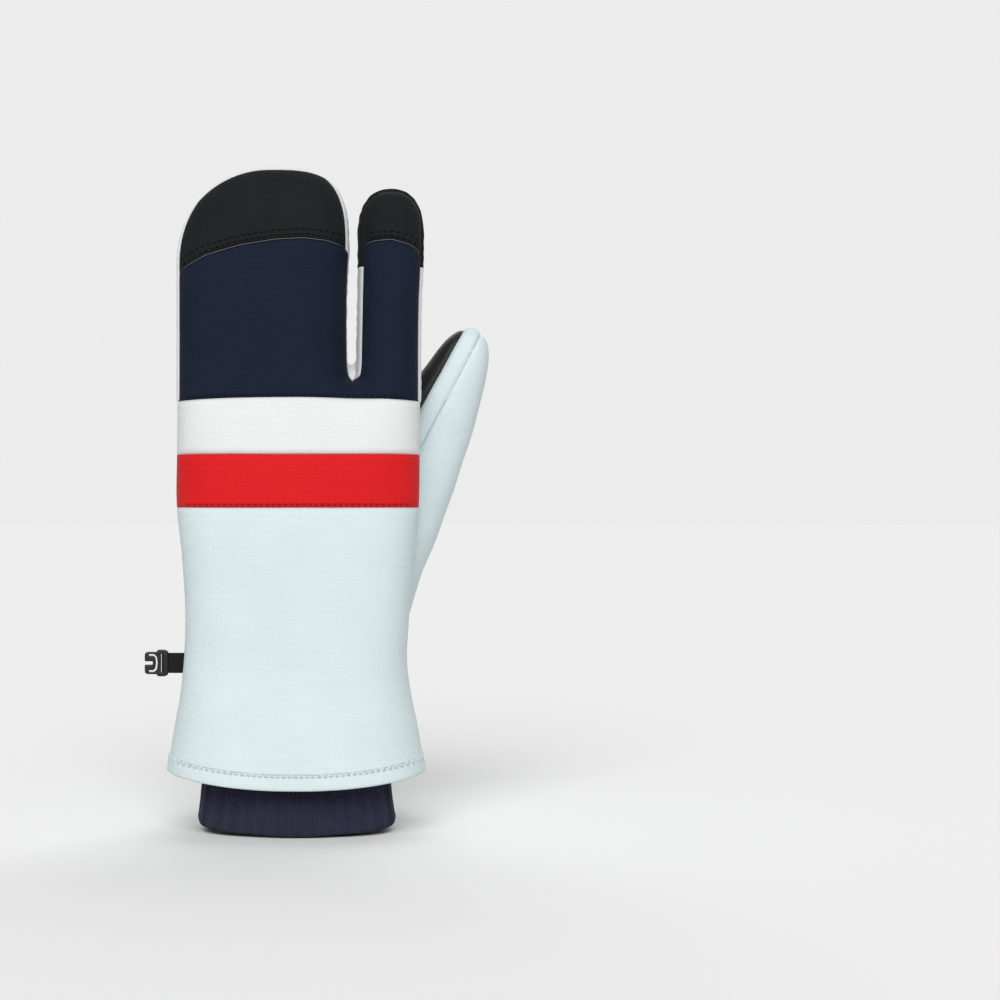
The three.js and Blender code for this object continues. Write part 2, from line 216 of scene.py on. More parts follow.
pod_outline = even(np.concatenate([pod_left[68:], pod_dome, pod_slot]))
index_outline = even(np.concatenate([index_slot, index_dome, index_right[1:36]]))
outer_left = even(np.concatenate([pod_left, pod_dome]), 2)
outer_right = even(np.concatenate([index_dome, index_right]), 2)
slot_lines = even(np.concatenate([pod_slot, index_slot[1:]]), 1)


def distance_to(line, x, z):
    a, b = line[:-1], line[1:]
    d = b - a
    p = np.stack([x, z], -1)[:, None, :]
    t = np.clip(((p - a) * d).sum(-1) / np.maximum((d * d).sum(-1), 1e-9), 0, 1)
    return np.sqrt((((a + t[..., None] * d) - p) ** 2).sum(-1).min(1))


def section(x, z):
    """How deep the mitt is in the middle, how far in from its edge it rounds, and how squarely."""
    index = fade(x, 16, 30) * fade(z, 190, 222)
    deep = hand_depth(z) * (1 - index) + index_depth(z) * index
    reach = (52 - 22 * fade(z, 150, 205)) * (1 - index) + 15.2 * index
    power = 2.4 + 0.45 * fade(z, 60, 110) - 0.35 * index
    return deep, reach, power


def half_depth(x, z):
    """Half the thickness of the mitt at a place on its flat outline."""
    x, z = np.asarray(x, float).ravel(), np.asarray(z, float).ravel()
    low = np.where(z < CROTCH[1], CROTCH[1] + 1.7 * (z - CROTCH[1]), z)
    d = np.minimum(distance_to(outer_left, x, z), distance_to(outer_right, x, z))
    d = np.minimum(d, distance_to(slot_lines, x, low))
    deep, reach, power = section(x, z)
    t = np.clip(d / reach, 0, 1)
    return deep * (1 - (1 - t) ** power) ** (1 / power)


def square_to(line):
    """The way to a line's right at each point, seen from the back of the hand."""
    along = np.gradient(line, axis=0)
    along /= np.linalg.norm(along, axis=1)[:, None]
    return np.stack([along[:, 1], -along[:, 0]], 1)


def inset(line, by):
    """A line moved to its right by some millimetres."""
    return line + by * square_to(line)


def on_line(line, s):
    """The points at shares s of a line's length."""
    line = np.asarray(line, float)
    length = np.concatenate([[0], np.cumsum(np.linalg.norm(np.diff(line, axis=0), axis=1))])
    return np.stack([np.interp(s * length[-1], length, line[:, k]) for k in range(2)], -1)


def crowd(u, share):
    """Spacing that is closer together at both ends."""
    return u * (1 - share) + share * (0.5 - 0.5 * np.cos(np.pi * u))


def grid(across, up, place, side=None):
    """A grid of cloth put in place by place(u, v), which is in millimetres."""
    bm = bmesh.new()
    bmesh.ops.create_grid(bm, x_segments=across, y_segments=up, size=0.5)
    bm.verts.ensure_lookup_table()
    flat = np.array([v.co[:2] for v in bm.verts]) + 0.5
    points = place(flat[:, 0], flat[:, 1])
    for vert, p in zip(bm.verts, metres(points)):
        vert.co = p
    bm.normal_update()
    if side is not None and sum(v.normal.y for v in bm.verts) * side < 0:
        bmesh.ops.reverse_faces(bm, faces=bm.faces)
        bm.normal_update()
    return bm, flat


def hem_dip(x, z):
    """The gauntlet's opening is cut lower in the middle of its back and palm than at its sides."""
    low, high = left_edge(z), right_edge(z)
    across = (x - (low + high) / 2) / (high - low) * 2
    return (1.4 - 5.6 * (1 - np.clip(across ** 2, 0, 1))) * fade(z, 74, 32)


def dipped(bm, dip):
    """Moves the points of a piece up or down by dip(x, z)."""
    co = in_mm(bm)
    for vert, higher in zip(bm.verts, dip(co[:, 0], co[:, 2])):
        vert.co.z += float(higher) / 1000
    return bm


def run_of(line):
    """The length of a line."""
    return np.linalg.norm(np.diff(np.asarray(line, float), axis=0), axis=1).sum()


SEAM_ROLL, PUFF_REACH, SEWN = 1.1, 7, 0.4
UNROLLED = 1e3


def panel(name, bottom, top, left, right, side, count=(90, 70), roll=(1, 1, 1, 1), puff=0.4, depth=1.0,
          crowded=0.85, extra=None, lift=0.0, loose=None):
    """A fabric or leather panel between four lines on the outline, rolled in along its sewn edges.

    roll says which of its bottom, top, left and right edges are rolled in. Where it meets the
    outline its edge is drawn to the middle of the mitt's side, to meet the panel behind.
    """
    wide = np.linalg.norm(on_line(bottom, 0) - on_line(bottom, 1))
    tall = 0.5 * (run_of(left) + run_of(right))

    def place(u, v):
        u = crowd(u, crowded)
        b, t, l, r = on_line(bottom, u), on_line(top, u), on_line(left, v), on_line(right, v)
        c = [on_line(bottom, 0.0), on_line(bottom, 1.0), on_line(top, 0.0), on_line(top, 1.0)]
        U, V = u[:, None], v[:, None]
        xz = ((1 - V) * b + V * t + (1 - U) * l + U * r
              - ((1 - U) * (1 - V) * c[0] + U * (1 - V) * c[1] + (1 - U) * V * c[2] + U * V * c[3]))
        y = side * half_depth(xz[:, 0], xz[:, 1])
        return np.stack([xz[:, 0], y, xz[:, 1]], 1)

    bm, flat = grid(*count, place, side)
    bm.verts.ensure_lookup_table()
    u, v = crowd(flat[:, 0], crowded), flat[:, 1]
    to_seams = (v * tall, (1 - v) * tall, u * wide, (1 - u) * wide)
    d = np.minimum.reduce([np.where(on, gap, UNROLLED) for on, gap in zip(roll, to_seams)])
    co = in_mm(bm)
    x, z = co[:, 0], co[:, 2]
    to_edge = np.minimum(distance_to(outer_left, x, z), distance_to(outer_right, x, z))
    to_edge = np.where(z < 197, to_edge, 9)
    rolled = depth * np.exp(-((d / SEAM_ROLL) ** 2)) * (1 - 0.8 * np.exp(-to_edge / 2))
    out = lift + puff * (1 - np.exp(-d / PUFF_REACH)) - rolled
    if extra is not None:
        out = out + extra(x, z)
    mapped(bm, np.stack([u * wide / 1000, v * tall / 1000], 1))
    pushed(bm, out)
    for i in np.nonzero((np.abs(flat[:, 0] - 0.5) > 0.4999) & (to_edge < SEWN))[0]:
        inward = 0.5 if x[i] < 0 else -0.5
        bm.verts[i].co = metres([(x[i] + inward, -side * 0.6, z[i])])[0]
    held = 1 - fade(np.minimum.reduce(to_seams), 2.6, 7)
    if loose is not None:
        held = np.maximum(held, 1 - loose(x, z))
    return finished(name, dipped(bm, hem_dip), held=held)


PRESS_FRAMES, MOST_PRESSED = 12, 1.1


def padded_out(piece, held):
    """Lets the wadding press a panel out with cloth physics while its sewn edges are held."""
    group = piece.vertex_groups.new(name="sewn")
    for i, share in enumerate(held):
        if share > 0.02:
            group.add([i], float(share), "REPLACE")
    cloth = piece.modifiers.new("cloth", "CLOTH")
    for key, value in (("quality", 4), ("mass", 0.25), ("tension_stiffness", 14),
                       ("compression_stiffness", 14), ("bending_stiffness", 0.6),
                       ("use_pressure", True), ("uniform_pressure_force", 4),
                       ("vertex_group_mass", "sewn")):
        setattr(cloth.settings, key, value)
    cloth.settings.effector_weights.gravity = 0
    cloth.point_cache.frame_end = PRESS_FRAMES
    for frame_number in range(1, PRESS_FRAMES + 1):
        scene.frame_set(frame_number)
    rest = np.array([v.co for v in piece.data.vertices])
    moved = piece.evaluated_get(bpy.context.evaluated_depsgraph_get()).to_mesh()
    step = np.array([v.co for v in moved.vertices]) - rest
    length = np.linalg.norm(step, axis=1) * 1000 + 1e-9
    step *= (MOST_PRESSED * np.tanh(length / MOST_PRESSED) / length)[:, None]
    piece.modifiers.remove(cloth)
    piece.vertex_groups.remove(group)
    piece.data.vertices.foreach_set("co", (rest + step).ravel())
    piece.data.update()
    scene.frame_set(1)


def finished(name, bm, thickness=0.9, held=None):
    """Makes the piece, padded out if held is given, and gives the cloth its thickness."""
    bm.normal_update()
    mesh = bpy.data.meshes.new(name)
    bm.to_mesh(mesh)
    bm.free()
    mesh.shade_smooth()
    piece = bpy.data.objects.new(name + "_visual", mesh)
    scene.collection.objects.link(piece)
    if held is not None:
        padded_out(piece, held)
    if thickness:
        wall = piece.modifiers.new("thickness", "SOLIDIFY")
        wall.thickness = thickness / 1000
        wall.offset = -1
        wall.use_even_offset = False
    return piece


class Value:
    """A shader socket that Python sums can be written with."""

    def __init__(self, tree, socket):
        self.tree, self.socket = tree, socket

    def maths(self, operation, *others):
        return self.node("ShaderNodeMath", {"operation": operation}, {
            i: o for i, o in enumerate((self,) + others)}, 0)

    def node(self, kind, settings, values, out):
        node = self.tree.nodes.new(kind)
        for key, value in settings.items():
            setattr(node, key, value)
        for key, value in values.items():
            if isinstance(value, Value):
                self.tree.links.new(value.socket, node.inputs[key])
            else:
                node.inputs[key].default_value = value
        return Value(self.tree, node.outputs[out])

    def __add__(self, o):
        return self.maths("ADD", o)

    def __sub__(self, o):
        return self.maths("SUBTRACT", o)

    def __mul__(self, o):
        return self.maths("MULTIPLY", o)

    def __rsub__(self, o):
        return self.maths("MULTIPLY", -1.0).maths("ADD", float(o))

    def wave(self, length):
        """A wave from -1 to 1 whose length is given in this value's own unit."""
        return (self * (2 * math.pi / length)).maths("SINE")

    def mix(self, a, b):
        """Colour a where this is 0 and b where it is 1."""
        return self.node("ShaderNodeMix", {"data_type": "RGBA"}, {0: self, 6: a, 7: b}, 2)

    def drives(self, shader, name):
        self.tree.links.new(self.socket, shader.inputs[name])


def colour(r, g, b):
    """A colour given as it looks on a screen, 0 to 255."""
    def linear(c):
        c = c / 255
        return c / 12.92 if c <= 0.04045 else ((c + 0.055) / 1.055) ** 2.4
    return (linear(r), linear(g), linear(b), 1)


def new_material(name, roughness, sheen, gloss):
    """A material, its shader, and the place and UV map that its patterns are drawn from."""
    material = bpy.data.materials.new(name)
    material.use_nodes = True
    shader = material.node_tree.nodes["Principled BSDF"]
    for key, value in (("Roughness", roughness), ("Sheen Weight", sheen), ("Sheen Roughness", 0.5),
                       ("Specular IOR Level", gloss)):
        shader.inputs[key].default_value = value
    tree = material.node_tree
    given = tree.nodes.new("ShaderNodeTexCoord").outputs
    return material, shader, Value(tree, given["Object"]), Value(tree, given["UV"])


def axes(value):
    split = value.tree.nodes.new("ShaderNodeSeparateXYZ")
    value.tree.links.new(value.socket, split.inputs[0])
    return [Value(value.tree, split.outputs[i]) for i in range(3)]


def noise(position, scale, detail=2.0):
    return position.node("ShaderNodeTexNoise", {}, {"Vector": position, "Scale": scale, "Detail": detail}, 0)


def bump(shader, height, strength, distance):
    sizes = {"Height": height, "Strength": strength, "Distance": distance}
    height.node("ShaderNodeBump", {}, sizes, 0).drives(shader, "Normal")


def woven(name, base, shade, roughness=0.8, sheen=0.1, gloss=0.2):
    """Plain shell fabric: fine crosswise ribs of thread, a little uneven, with large soft random patches of
    lighter and darker tone.
    """
    material, shader, place, _ = new_material(name, roughness, sheen, gloss)
    x, y, z = axes(place)
    drift = noise(place, 14.0) - 0.5
    ribs = (z + drift * 0.004).wave(0.00102)
    threads = (x + y + drift * 0.002).wave(0.0012)
    weave = ribs * 0.5 + threads * 0.2
    cloud = noise(place, 38.0, 4.0)
    slub = noise(place, 900.0)
    tone = weave * 0.3 + slub * 0.35 + cloud * 0.55
    tone.mix(shade, base).drives(shader, "Base Color")
    (cloud * 0.14 + (roughness - 0.07)).drives(shader, "Roughness")
    bump(shader, weave * 0.6 + slub * 0.5, 0.45, 0.00022)
    return material


pale_fabric = woven("pale_fabric", colour(212, 225, 226), colour(192, 207, 209))


def dress(piece, material, body, *nodes, to=None, band=None, fill=None):
    """Gives a piece its material and hides the CAD pieces that it stands for. With to given it stays
    unparented where it is; otherwise it is parented to its body's empty.
    """
    piece.data.materials.clear()
    piece.data.materials.append(material)
    if nodes:
        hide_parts(*nodes)
    if to:
        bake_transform(piece)
    else:
        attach(piece, body)


def row(x, y, z):
    return tuple(metres([(x, y, z)])[0])


WRIST = (row(0, 0, 57), row(0, 0, 95))


def edge_line(edge, z0, z1):
    z = np.linspace(z0, z1, 60)
    return np.stack([edge(z), z], 1)


def sides(z0, z1):
    return edge_line(left_edge, z0, z1), edge_line(right_edge, z0, z1)


def level(z, x0, x1):
    return np.array([(x0, z), ((x0 + x1) / 2, z), (x1, z)], float)


def across(z):
    return np.array([(left_edge(z), z), (0, z), (right_edge(z), z)])


back_panel = panel("back_panel", across(HEM_SEAM), across(RED_BOTTOM), *sides(HEM_SEAM, RED_BOTTOM), -1,
                   (110, 130), (0, 1, 1, 1), puff=0.5)
dress(back_panel, pale_fabric, "cuff", "hand_back_panel", "gauntlet_back_panel", to="hand", band=WRIST,
      fill=0.5)

# ---------------------------------------------------------------------------------------------
# Red and white bands: two strips of the same shell fabric sewn across the back of the hand.
red_fabric = woven("red_fabric", colour(216, 32, 35), colour(194, 21, 26), sheen=0.03, gloss=0.12)
white_fabric = woven("white_fabric", colour(226, 226, 226), colour(210, 211, 212))
ARCH_END = 196.2
arch = curve_through([(-56.1, ARCH_END), (-30, 197.3), (0, 197.7), (30, 197.3), (55.7, ARCH_END)])


def arch_line(x0, x1):
    x = np.linspace(x0, x1, 40)
    return np.stack([x, arch(x)], 1)


red_band = panel("red_band", across(RED_BOTTOM), across(WHITE_BOTTOM), *sides(RED_BOTTOM, WHITE_BOTTOM),
                 -1, (110, 30))
dress(red_band, red_fabric, "hand", "red_band", fill=0.5)
white_band = panel("white_band", across(WHITE_BOTTOM), arch_line(-56.1, 55.7),
                   *sides(WHITE_BOTTOM, ARCH_END), -1, (110, 32))
dress(white_band, white_fabric, "hand", "white_band", fill=0.5)

# ---------------------------------------------------------------------------------------------
# Backs of the fingers: navy shell fabric up to an arched seam, then a black cap over the tips.
# The pod holds three fingers; the index finger has its own stall beside it.
navy_fabric = woven("navy_fabric", colour(31, 38, 56), colour(18, 24, 38), sheen=0.02, gloss=0.06)
black_fabric = woven("black_fabric", colour(35, 36, 37), colour(21, 22, 23), sheen=0.02, gloss=0.07)
BACK_INSET, PALM_INSET = 0.5, 2.6
KNUCKLE = (row(0, 0, 201), row(0, 0, 239))


def part_of(line, start, end):
    """The stretch of an outline between the points nearest to two places."""
    i = int(np.argmin(np.linalg.norm(line - np.array(start), axis=1)))
    j = int(np.argmin(np.linalg.norm(line - np.array(end), axis=1)))
    return line[i:j + 1] if i <= j else line[j:i + 1][::-1]


def closed_to(line, start, end):
    """The same line with its two ends put exactly where its neighbours' corners are."""
    line = np.array(line)
    line[0], line[-1] = start, end
    return line


def back_inset(line):
    """How far in the back panel ends: more beside the gap, where the index finger's back is narrower."""
    x, z = line[:, 0], line[:, 1]
    return (BACK_INSET + 1.9 * fade(x, 31, 27.5) * fade(x, 24.5, 25.6) * fade(z, 205.4, 208.4))[:, None]


pod_back_line = inset(pod_outline, BACK_INSET)
index_back_line = inset(index_outline, back_inset(index_outline))
pod_seam = np.array([(-55.3, 254.8), (-49, 258.2), (-42, 261.7), (-27, 266.1), (-11, 268.8), (2, 269.5),
                     (12.4, 268.5), (21.6, 266.2)])
index_seam = np.array([(29.4, 267.4), (34, 268.8), (42, 269.3), (50, 267.2), (56.2, 263.8)])
POD_CORNER, INDEX_CORNER, GAP_FOOT = (-55.4, ARCH_END), (55.0, ARCH_END), (24.1, arch(24.1))
slot_left = np.concatenate([[GAP_FOOT, (24.1, 205.3)],
                            part_of(pod_back_line, (22.6, 206.8), pod_seam[-1])[1:]])
slot_right = np.concatenate([[GAP_FOOT, (24.1, 205.2)],
                             part_of(index_back_line, (25.6, 206.8), index_seam[0])[1:]])
pod_back = panel(
    "pod_back", arch_line(POD_CORNER[0], 24.1), even(pod_seam),
    closed_to(part_of(pod_back_line, POD_CORNER, pod_seam[0]), POD_CORNER, pod_seam[0]),
    closed_to(slot_left, GAP_FOOT, pod_seam[-1]), -1, (90, 70), (1, 1, 1, 0), crowded=0.6)
dress(pod_back, navy_fabric, "hand", "pod_back", "navy_yoke", to="pod", band=KNUCKLE, fill=0.5)
index_back = panel(
    "index_back", arch_line(24.1, INDEX_CORNER[0]), even(index_seam),
    closed_to(slot_right, GAP_FOOT, index_seam[0]),
    closed_to(part_of(index_back_line, INDEX_CORNER, index_seam[-1]), INDEX_CORNER, index_seam[-1]),
    -1, (50, 70), (1, 1, 0, 1), crowded=0.6)
dress(index_back, navy_fabric, "hand", "index_back", to="index", band=KNUCKLE, fill=0.5)


SHOULDER = 0.27


def cap(name, seam, line, side, count, **more):
    """A fingertip cap between its seam and the rounded outline above it."""
    rim = part_of(line, seam[0], seam[-1])
    rim = closed_to(even(rim, 0.8), seam[0], seam[-1])
    a, b = int(len(rim) * SHOULDER), int(len(rim) * (1 - SHOULDER))
    return panel(name, even(seam), rim[a:b + 1], rim[:a + 1], rim[b:][::-1], side, count, **more)


pod_cap_back = cap("pod_cap_back", pod_seam, pod_back_line, -1, (70, 40))
dress(pod_cap_back, black_fabric, "pod", "pod_cap_back", fill=0.5)
index_cap_back = cap("index_cap_back", index_seam, index_back_line, -1, (40, 30))
dress(index_cap_back, black_fabric, "index", "index_cap_back", fill=0.5)

# ---------------------------------------------------------------------------------------------
# Hem: a double fold of the pale fabric round the gauntlet's opening, top-stitched along its
# upper edge. It is one closed band, thick and round at the bottom where the fabric turns under.
def closed_ring(points, count):
    """A closed line in X and Y with evenly spaced points, and the way out from it at each one."""
    ring = even(np.concatenate([points, points[:1]]), 0.3)
    ring = on_line(ring, np.linspace(0, 1, count + 1))
    ring[-1] = ring[0]
    along = np.roll(ring[:-1], -1, axis=0) - np.roll(ring[:-1], 1, axis=0)
    along = np.concatenate([along, along[:1]])
    along /= np.linalg.norm(along, axis=1)[:, None]
    return ring, np.stack([along[:, 1], -along[:, 0]], 1)


def gauntlet_ring(z):
    angle = np.linspace(0, 2 * math.pi, 400, endpoint=False)
    low, high = float(left_edge(z)), float(right_edge(z))
    x = (low + high) / 2 + (high - low) / 2 * np.cos(angle)
    return np.stack([x, np.sign(np.sin(angle)) * half_depth(x, np.full(400, float(z)))], 1)


def band_round(name, ring_at, profile, around, thickness=0.0, ripple=None, dip=None):
    """A band swept round a ring: profile is evenly spaced points of (height, outward)."""
    rows = []
    for z, out in profile:
        ring, normal = closed_ring(ring_at(z), around)
        rows.append(np.concatenate([ring + out * normal, np.full((around + 1, 1), z)], 1))
    rows = np.array(rows)

    def place(u, v):
        i = np.rint(v * (len(profile) - 1)).astype(int)
        j = np.rint(u * around).astype(int)
        return rows[i, j]

    bm, flat = grid(around, len(profile) - 1, place)
    mapped(bm, flat * (run_of(rows[0][:, :2]) / 1000, run_of(profile) / 1000))
    if ripple is not None:
        pushed(bm, ripple(flat[:, 0], flat[:, 1], in_mm(bm)))
    bmesh.ops.remove_doubles(bm, verts=bm.verts, dist=2e-6)
    bmesh.ops.recalc_face_normals(bm, faces=bm.faces)
    return finished(name, dipped(bm, dip) if dip else bm, thickness)


def hem_puckers(u, v, co):
    """The fabric draws in a little at the stitching and puckers beside it."""
    z = co[:, 2]
    outside = fade(v, 0.62, 0.5)
    slant = np.sin((u * 300 + (z - 30) * 0.35) * 1.9) + 0.6 * np.sin(u * 431 + 1.7 + z * 0.3)
    near = np.exp(-(((z - 33.2) / 2.4) ** 2))
    return outside * (0.14 * slant * near - 0.4 * np.exp(-(((z - 33.3) / 0.6) ** 2)))


hem = band_round("hem_band", gauntlet_ring,
                 even([(35.6, -2.4), (35.4, -1.2), (35.0, -0.35), (34.2, -0.05), (33, 0.05), (28.5, 0.25),
                       (27.1, 0.15), (26.4, -0.3), (26.3, -0.9), (26.8, -1.9), (28, -2.3), (31, -2.4),
                       (35.0, -3.0)], 0.5), 420, ripple=hem_puckers, dip=hem_dip)
dress(hem, pale_fabric, "cuff", "hem_band")

# ---------------------------------------------------------------------------------------------
# Palm side of the gauntlet and wrist: pale shell fabric from the hem to the leather. Elastic
# sewn across the inside of the wrist gathers it into a row of small scallops and soft pleats.
ELASTIC_Z = 75.6


def scallop(x):
    """Height of the gathered edge: a zigzag whose teeth are not all the same width."""
    x = np.asarray(x, float)
    phase = x / 8.3 + 0.22 * np.sin(x / 17) + 0.1 * np.sin(x / 5.3)
    tooth = 2 * np.abs(phase - np.floor(phase + 0.5))
    return ELASTIC_Z + 4.2 * (tooth - 0.5) + 0.7 * np.sin(x / 21)


def gathers(x, z):
    """The fabric puffs above the elastic, dips under it, and keeps pleats and slanting folds."""
    s = z - scallop(x)
    above = 1.45 * np.exp(-np.maximum(s, 0) / 16) * (1 - np.exp(-np.maximum(s, 0) / 0.7))
    below = -1.0 * np.exp(-((np.minimum(s, 0) / 2.2) ** 2)) * (s < 0) - 0.9 * np.exp(-((s / 0.8) ** 2))
    pleat = 0.55 * np.sin(x / 8.3 * 2 * np.pi + 0.8 + (z - 76) * 0.05) * np.exp(-((z - 82) / 9) ** 2)
    folds = 0.8 * np.exp(-((x + 38 - (76 - z) * 0.62) / 1.8) ** 2) * fade(z, 52, 70) * fade(z, 79, 74)
    folds += 0.9 * np.exp(-((x + 46 - (76 - z) * 0.5) / 2.0) ** 2) * fade(z, 56, 70) * fade(z, 80, 75)
    folds += 0.7 * np.exp(-((x - 42 + (76 - z) * 0.3) / 2.2) ** 2) * fade(z, 58, 70) * fade(z, 79, 74)
    slack = (0.5 * np.sin(x / 13 + 1) * np.sin(z / 8 + 0.6 * np.sin(x / 15))
             * fade(z, 80, 86) * fade(z, 96, 91))
    slack += 0.3 * np.sin((x * 0.4 + z) / 6.1) * fade(x, 24, 34) * fade(z, 84, 96)
    edge = fade(x, left_edge(z), left_edge(z) + 6) * fade(x, right_edge(z), right_edge(z) - 6)
    under = under_leather(x, z)
    return (above + below + pleat + folds + slack) * edge * (1 - under) - 1.3 * under


def under_leather(x, z):
    """Where the leather patch is laid over the fabric, which lies flatter there."""
    return fade(z, 100.5, 103) * fade(x, 24, 19) + fade(z, 119, 123) * fade(x, 19, 24)


def shell_only(x, z):
    """Where the palm fabric is smooth enough for the wadding to press it out."""
    return fade(z, 66, 56) * fade(z, 36, 42)


palm_fabric = panel("palm_fabric", across(HEM_SEAM), across(130), *sides(HEM_SEAM, 130), 1, (190, 160),
                    (0, 0, 1, 1), extra=gathers, loose=shell_only)
dress(palm_fabric, pale_fabric, "cuff", "gauntlet_palm_panel", "wrist_fold", "wrist_elastic",
      "wrist_palm_panel", "gauntlet_wadding", "hand_wadding", to="hand", band=WRIST, fill=0.4)

side_left = np.array([(47, 128), (47, 175), (50, 182), (53, 187)], float)
thumb_side = panel("thumb_side_strip", level(128, 47, float(right_edge(128))),
                   np.array([(53, 187), (54.6, 191), (55.6, 195)]), even(side_left),
                   edge_line(right_edge, 128, 195), 1, (20, 60), (0, 0, 1, 1))
dress(thumb_side, pale_fabric, "hand", "thumb_side_strip", fill=0.4)

# ---------------------------------------------------------------------------------------------
# Palm: black grained synthetic leather in three parts. A patch over the heel of the hand is
# laid on the fabric, the palm runs up to the knuckle seam, and a panel goes up each finger.


def grained(name, base, shade, roughness=0.48):
    """Embossed leather: small pebbles with fine creases between them, and soft random patches that are
    lighter and rougher.
    """
    material, shader, place, _ = new_material(name, roughness, 0.0, 0.16)
    pebbles = place.node("ShaderNodeTexVoronoi", {"feature": "SMOOTH_F1"},
                         {"Vector": place, "Scale": 820.0, "Smoothness": 0.35}, "Distance")
    crease = noise(place, 210.0, 3.0)
    lighter_patches = noise(place, 46.0, 3.0)
    fine = noise(place, 2100.0, 1.0)
    tone = (1 - pebbles) * 0.35 + crease * 0.4 + lighter_patches * 0.35
    tone.mix(shade, base).drives(shader, "Base Color")
    ((crease + lighter_patches) * 0.2 + (roughness - 0.2)).drives(shader, "Roughness")
    bump(shader, (1 - pebbles) * 0.8 + crease * 1.6 + fine * 0.25, 0.55, 0.0003)
    return material


black_leather = grained("black_leather", colour(43, 43, 44), colour(24, 24, 25))
tip_leather = grained("tip_leather", colour(37, 38, 41), colour(20, 21, 23))


def creases(x, z):
    """Shallow folds that a worn palm keeps."""
    return (0.22 * np.sin((x * 0.45 + z) / 5.2 + 1.3 * np.sin(x / 17)) * np.sin(z / 23 + x / 31)
            + 0.16 * np.sin((z - x * 0.7) / 3.9 + np.sin(z / 13)) * np.sin(x / 19 + 0.7))


knuckle_seam = even([(-55.6, 194.8), (-43.7, 198.4), (-28.4, 201.5), (-7.8, 203), (12.9, 201.5),
                              (23.7, 199), (28, 197.8), (40.5, 192), (53, 187)])
PALM_LOW = 125.4
PALM_LEFT, PALM_TOP = float(left_edge(PALM_LOW)), (-55.6, 194.8)
palm_leather = panel("palm_leather", level(PALM_LOW, PALM_LEFT, 47), knuckle_seam,
                     closed_to(edge_line(left_edge, PALM_LOW, PALM_TOP[1]), (PALM_LEFT, PALM_LOW), PALM_TOP),
                     even([(47, PALM_LOW), (47, 175), (50, 182), (53, 187)]), 1, (120, 90),
                     extra=creases, lift=0.3)
dress(palm_leather, black_leather, "hand", "palm_leather", fill=0.4)

heel_low = np.array([(-51.4, 109.5), (-50, 104), (-47.6, 99.2), (-44.8, 98), (-30, 97.6), (-10, 97.5),
                     (4, 97.5), (8.5, 98.2), (13, 101.6), (22.1, 110.6)])
heel = panel("heel_leather", even(heel_low), level(PALM_LOW, -52.0, 30),
             even([(-51.4, 109.5), (-51.6, 116), (-52.0, PALM_LOW)]),
             even([(22.1, 110.6), (25, 118), (30, PALM_LOW)]), 1, (110, 36), (1, 1, 1, 0), lift=1.1,
             depth=0.8, extra=creases)
dress(heel, black_leather, "hand", "heel_leather", fill=0.3)

pod_palm_line = inset(pod_outline, PALM_INSET)
index_palm_line = inset(index_outline, PALM_INSET)
pod_palm_seam = np.array([(-53.5, 250.7), (-45, 257.3), (-33.6, 262), (-20, 266), (-7.8, 267.5),
                          (8, 266.2), (19.5, 263)])
index_palm_seam = np.array([(29.6, 258), (36, 258.5), (42, 258.6), (48, 258.5), (54.1, 258)])
split = int(np.argmin(np.abs(knuckle_seam[:, 0] - 24.1)))
crotch_low = tuple(knuckle_seam[split])
pod_palm_slot = np.concatenate([[crotch_low, (24.1, 207.6)],
                                part_of(pod_palm_line, (19.2, 214), (19.5, 263))])
index_palm_slot = np.concatenate([[crotch_low, (24.1, 207.6)],
                                  part_of(index_palm_line, (29, 214), (29.6, 258))])
pod_palm = panel("pod_palm_leather", knuckle_seam[:split + 1], even(pod_palm_seam),
                 closed_to(part_of(pod_palm_line, (-53.5, 196.2), (-53.5, 250.7)), PALM_TOP,
                           (-53.5, 250.7)),
                 closed_to(even(pod_palm_slot), crotch_low, (19.5, 263)), 1, crowded=0.5, extra=creases)
dress(pod_palm, black_leather, "hand", "pod_palm_leather", "pod_fold", "pod_wadding", "pod_lining", to="pod",
      band=KNUCKLE, fill=0.5)
index_palm = panel("index_palm_leather", knuckle_seam[split:], even(index_palm_seam),
                   closed_to(even(index_palm_slot), crotch_low, (29.6, 258)),
                   closed_to(part_of(index_palm_line, (53, 194), (54.1, 258)), (53, 187), (54.1, 258)), 1,
                   (44, 76), crowded=0.5, extra=creases)
dress(index_palm, black_leather, "hand", "index_palm_leather", "index_fold", "index_wadding", "index_lining",
      to="index", band=KNUCKLE, fill=0.5)

# ---------------------------------------------------------------------------------------------
# Palm side of the fingertips: leather caps whose lower edge is folded and laid over the finger.
# The index cap has a raised rib of piping that follows its edge.


def piping(x, z):
    """A raised rib 4.3 mm in from the outline, with a groove and a softer fold inside it."""
    d = np.minimum(distance_to(index_outline, x, z), 40)
    return (0.75 * np.exp(-(((d - 4.3) / 0.75) ** 2)) - 0.35 * np.exp(-(((d - 6.0) / 0.6) ** 2))
            + 0.35 * np.exp(-(((d - 7.2) / 0.6) ** 2)))


pod_cap_palm = cap("pod_cap_palm", pod_palm_seam, pod_palm_line, 1, (80, 46), roll=(0, 1, 1, 1), lift=0.75,
                   extra=creases)
dress(pod_cap_palm, tip_leather, "pod", "pod_cap_palm", fill=0.5)
index_cap_palm = cap("index_cap_palm", index_palm_seam, index_palm_line, 1, (60, 52), roll=(0, 1, 1, 1),
                     lift=0.75, extra=piping)
dress(index_cap_palm, tip_leather, "index", "index_cap_palm", fill=0.5)

# ---------------------------------------------------------------------------------------------
# Gussets: long strips between the back and palm of each finger that give it its thickness,
# white shell fabric down the sides and black round the index fingertip.
gusset_fabric = woven("gusset_fabric", colour(226, 227, 228), colour(206, 208, 210))


SQUARENESS = 2.3


def bow(s):
    """How far from the outline the rounded side is at a share of its half depth."""
    return 1 - (1 - np.clip(np.abs(s), 0, 1) ** SQUARENESS * 0.97) ** (1 / SQUARENESS)


